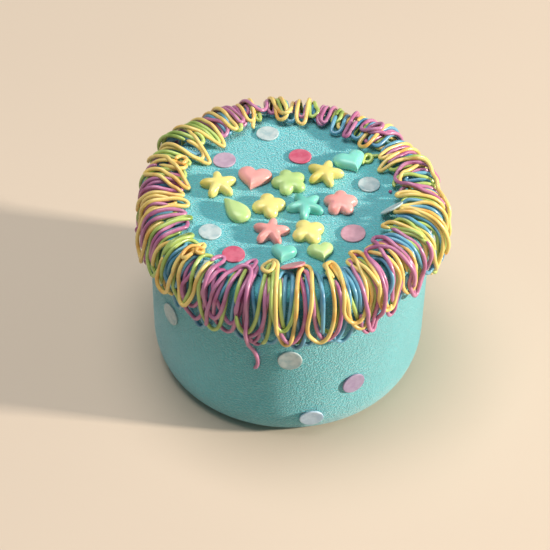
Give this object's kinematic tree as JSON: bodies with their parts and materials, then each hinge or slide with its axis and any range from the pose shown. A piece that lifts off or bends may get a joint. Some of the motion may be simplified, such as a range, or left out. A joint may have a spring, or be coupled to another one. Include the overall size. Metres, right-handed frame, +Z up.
{
  "type": "birthday cake",
  "caption": "Round turquoise cake with a rounded base edge, a hanging fringe of piped strands over the rim, puffy sugar ornaments and flat wafer discs.",
  "frame": {"origin": "centre of the flat base, where the cake rests", "axes": "+Z up from the base to the top, -Y towards the front, +X to the right seen from the front"},
  "size_m": [0.1678, 0.1678, 0.1139],
  "materials": {
    "cake_coating": "fine grainy sprayed coating, velvety matte",
    "strand_yellow": "soft satin, piped",
    "strand_pink": "soft satin, piped",
    "strand_blue": "soft satin, piped",
    "strand_green": "soft satin, piped",
    "sugar_yellow": "smooth soft sugar, low sheen",
    "sugar_coral": "smooth soft sugar, low sheen",
    "sugar_green": "smooth soft sugar, low sheen",
    "sugar_aqua": "smooth soft sugar, low sheen",
    "wafer_hot_pink": "thin pressed wafer, faintly mottled",
    "wafer_lilac": "thin pressed wafer, faintly mottled",
    "wafer_white": "thin pressed wafer, faintly mottled",
    "wafer_pale_pink": "thin pressed wafer, faintly mottled",
    "wafer_coral": "thin pressed wafer, faintly mottled"
  },
  "bodies": {
    "root": {"cake": "cake_coating", "fringe": "strand_yellow", "ornament_1_star": "sugar_yellow", "ornament_2_heart": "sugar_coral", "ornament_3_flower": "sugar_green", "ornament_4_star": "sugar_yellow", "ornament_5_heart": "sugar_aqua", "ornament_6_drop": "sugar_green", "ornament_7_clover": "sugar_yellow", "ornament_8_star": "sugar_aqua", "ornament_9_flower": "sugar_coral", "ornament_10_star": "sugar_coral", "ornament_11_clover": "sugar_yellow", "ornament_12_heart": "sugar_aqua", "ornament_13_heart": "sugar_green", "disc_top_1": "wafer_lilac", "disc_top_2": "wafer_hot_pink", "disc_top_3": "wafer_white", "disc_top_4": "wafer_white", "disc_top_5": "wafer_pale_pink", "disc_top_6": "wafer_white", "disc_top_7": "wafer_hot_pink", "disc_side_1": "wafer_white", "disc_side_2": "wafer_white", "disc_side_3": "wafer_lilac", "disc_side_4": "wafer_white", "disc_side_5": "wafer_hot_pink", "disc_side_6": "wafer_pale_pink", "disc_leaning_1": "wafer_coral", "disc_leaning_2": "wafer_white"}
  },
  "joints": []
}
